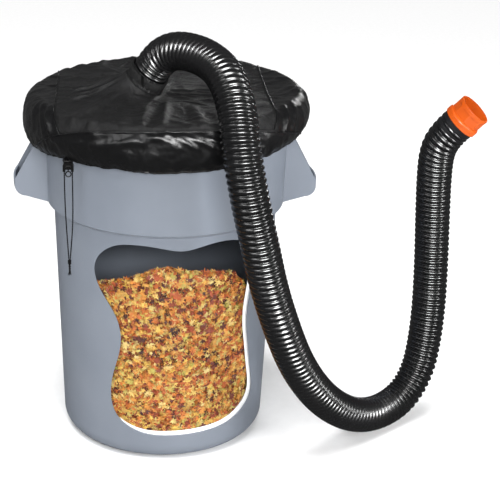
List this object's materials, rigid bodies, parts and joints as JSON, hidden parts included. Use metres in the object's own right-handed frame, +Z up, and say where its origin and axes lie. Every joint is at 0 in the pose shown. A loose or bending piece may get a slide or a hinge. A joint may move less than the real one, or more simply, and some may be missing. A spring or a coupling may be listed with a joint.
{
  "type": "leaf collection bin set",
  "caption": "Grey round bin with handles, a black drawstring cover, a corrugated hose and an orange adapter that lead leaves from a blower into the bin.",
  "frame": {"origin": "centre of the bin's footprint, on the ground", "axes": "+Z up, +X towards the right handle and the free end of the hose, -Y towards the window"},
  "size_m": [1.1609, 0.7815, 1.0504],
  "materials": {
    "bin_plastic": "satin moulded",
    "edge_white": "smooth",
    "leaves": "mulched dry leaves",
    "mesh_fabric": "matte fine mesh",
    "satin_fabric": "coated, soft sheen",
    "webbing": "woven webbing",
    "cord": "braided",
    "lock_plastic": "moulded",
    "spring_steel": "drawn wire",
    "eyelet_metal": "black oxide",
    "hose_plastic": "glossy corrugated",
    "cuff_plastic": "smooth",
    "adapter_plastic": "satin gloss",
    "seal_rubber": "matte"
  },
  "bodies": {
    "bin": {"bin_body": "bin_plastic", "bin_handle_left": "bin_plastic", "bin_handle_right": "bin_plastic", "window_edge_trim": "edge_white", "leaf_pile": "leaves"},
    "cover": {"cover_top_panel": "mesh_fabric", "cover_end_panel_left": "satin_fabric", "cover_end_panel_right": "satin_fabric", "cover_skirt_front": "satin_fabric", "cover_skirt_back": "satin_fabric", "top_seam_piping": "satin_fabric", "hem_casing": "satin_fabric", "drawstring": "cord", "hem_tab": "satin_fabric", "hem_eyelets": "eyelet_metal", "hose_sleeve": "mesh_fabric", "sleeve_strap": "webbing", "strap_tail": "webbing", "strap_loop": "lock_plastic", "hose": "hose_plastic", "hose_cuff_outlet": "cuff_plastic", "drawstring_tail_left": "cord", "drawstring_tail_right": "cord", "cord_knot": "cord"},
    "adapter": {"adapter": "adapter_plastic", "adapter_seal": "seal_rubber"},
    "cord_lock": {"cord_lock_body": "lock_plastic", "cord_lock_cap": "lock_plastic", "cord_lock_spring": "spring_steel"},
    "cord_lock_button": {"cord_lock_button": "lock_plastic"}
  },
  "joints": [
    {"name": "cover_lift", "type": "slide", "parent": "bin", "child": "cover", "axis": [0, 0, 1], "range_m": [0, 0.35]},
    {"name": "adapter_twist", "type": "hinge", "parent": "cover", "child": "adapter", "pos_m": [0.72585, -0.05659, 0.82764], "axis": [0.6119, -0.266, 0.7449], "continuous": true},
    {"name": "cord_lock_slide", "type": "slide", "parent": "cover", "child": "cord_lock", "axis": [0, 0, -1], "range_m": [0, 0.028]},
    {"name": "cord_lock_press", "type": "slide", "parent": "cord_lock", "child": "cord_lock_button", "axis": [0, 1, 0], "range_m": [0, 0.0025], "stiffness_N_per_m": 800, "springref_m": -0.002, "deforming": ["cord_lock_spring"]}
  ]
}
